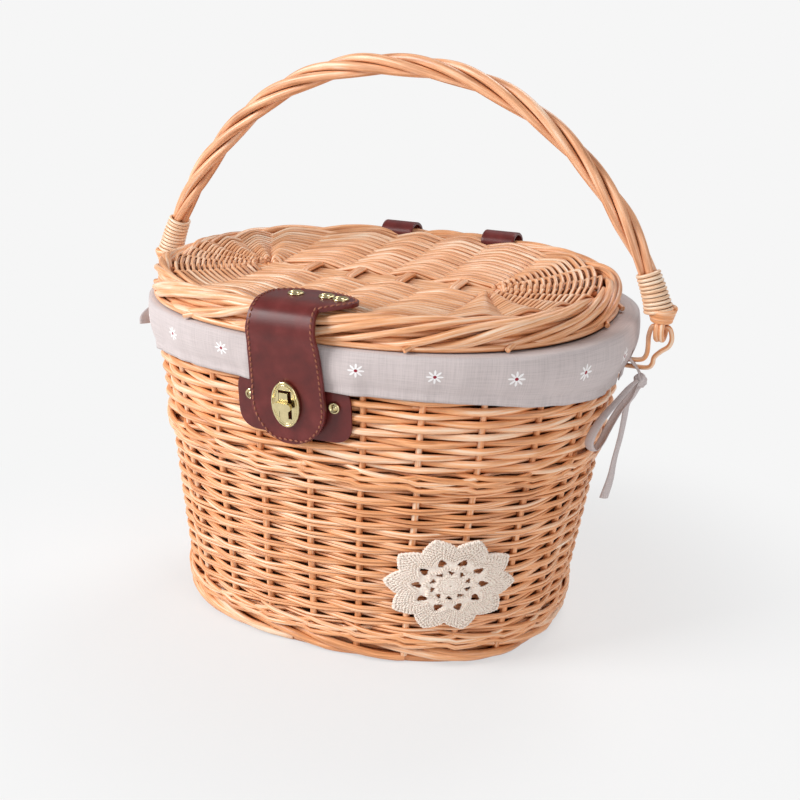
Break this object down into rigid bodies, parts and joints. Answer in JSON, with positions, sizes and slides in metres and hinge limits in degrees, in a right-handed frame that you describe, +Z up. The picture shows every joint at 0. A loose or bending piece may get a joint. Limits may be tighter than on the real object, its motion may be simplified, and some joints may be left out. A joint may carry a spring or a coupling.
{
  "type": "bicycle basket",
  "caption": "Oval wicker bicycle basket with a hinged lid, twisted swing handle, cloth liner, leather flap with a turn lock and two rear mounting straps.",
  "frame": {"origin": "middle of the base outline, on the surface the basket stands on", "axes": "+Z up, the flap and lock face -Y, the basket's long axis is X"},
  "size_m": [0.398, 0.2897, 0.3923],
  "materials": {
    "willow": "satin",
    "willow_pale": "satin",
    "willow_dark": "satin",
    "linen": "matte",
    "cotton": "matte",
    "leather": "satin",
    "brass": "polished"
  },
  "bodies": {
    "basket": {"foot_border": "willow_pale", "base_panel": "willow", "wall_lower": "willow", "wall_wale": "willow_pale", "wall_upper": "willow", "stake_frame": "willow_dark", "rim_border": "willow_pale", "liner": "linen", "handle_ear_left": "willow", "handle_ear_right": "willow", "hinge_tab_left_lower": "leather", "hinge_tab_right_lower": "leather", "hinge_rivet_left": "brass", "hinge_rivet_right": "brass", "lock_backing": "leather", "backing_rivet_left": "brass", "backing_rivet_right": "brass", "lock_base": "brass", "doily": "cotton", "tie_right_knot": "linen", "tie_right_tail": "linen", "tie_right_loop": "linen", "tie_left": "linen", "mount_strap_left": "leather", "mount_strap_right": "leather", "mount_buckle_left": "brass", "mount_buckle_right": "brass", "mount_keeper_left": "leather", "mount_keeper_right": "leather"},
    "lid": {"lid_border": "willow_pale", "lid_panel": "willow", "lid_spine": "willow_dark", "lid_cross_stick_1": "willow_dark", "lid_cross_stick_2": "willow_dark", "lid_cross_stick_3": "willow_dark", "lid_cross_stick_4": "willow_dark", "lid_cross_stick_5": "willow_dark", "lid_cross_stick_6": "willow_dark", "hinge_tab_left_upper": "leather", "hinge_tab_right_upper": "leather", "closure_head": "leather", "closure_eyelet_1": "brass", "closure_eyelet_2": "brass", "closure_eyelet_3": "brass"},
    "flap": {"closure_flap": "leather", "lock_plate": "brass", "lock_post": "brass"},
    "lock_bar": {"lock_bar": "brass"},
    "handle": {"handle_rod_1": "willow", "handle_rod_2": "willow_dark", "handle_rod_3": "willow", "handle_rod_4": "willow_dark", "handle_eye_left": "willow", "handle_eye_right": "willow", "handle_binding_left": "willow_pale", "handle_binding_right": "willow_pale"}
  },
  "joints": [
    {"name": "handle_swing", "type": "hinge", "parent": "basket", "child": "handle", "pos_m": [0.008, 0.008, 0.226], "axis": [1, 0, 0], "range_deg": [-95, 10]},
    {"name": "lid_open", "type": "hinge", "parent": "basket", "child": "lid", "pos_m": [0.003, 0.134, 0.2374], "axis": [-1, 0, 0], "range_deg": [0, 5]},
    {"name": "flap_lift", "type": "hinge", "parent": "lid", "child": "flap", "pos_m": [-0.002, -0.1365, 0.2495], "axis": [-1, 0, 0], "range_deg": [0, 100]},
    {"name": "lock_turn", "type": "hinge", "parent": "flap", "child": "lock_bar", "pos_m": [-0.002, -0.13617, 0.18773], "axis": [0, -0.9963, -0.086], "range_deg": [0, 90]}
  ]
}
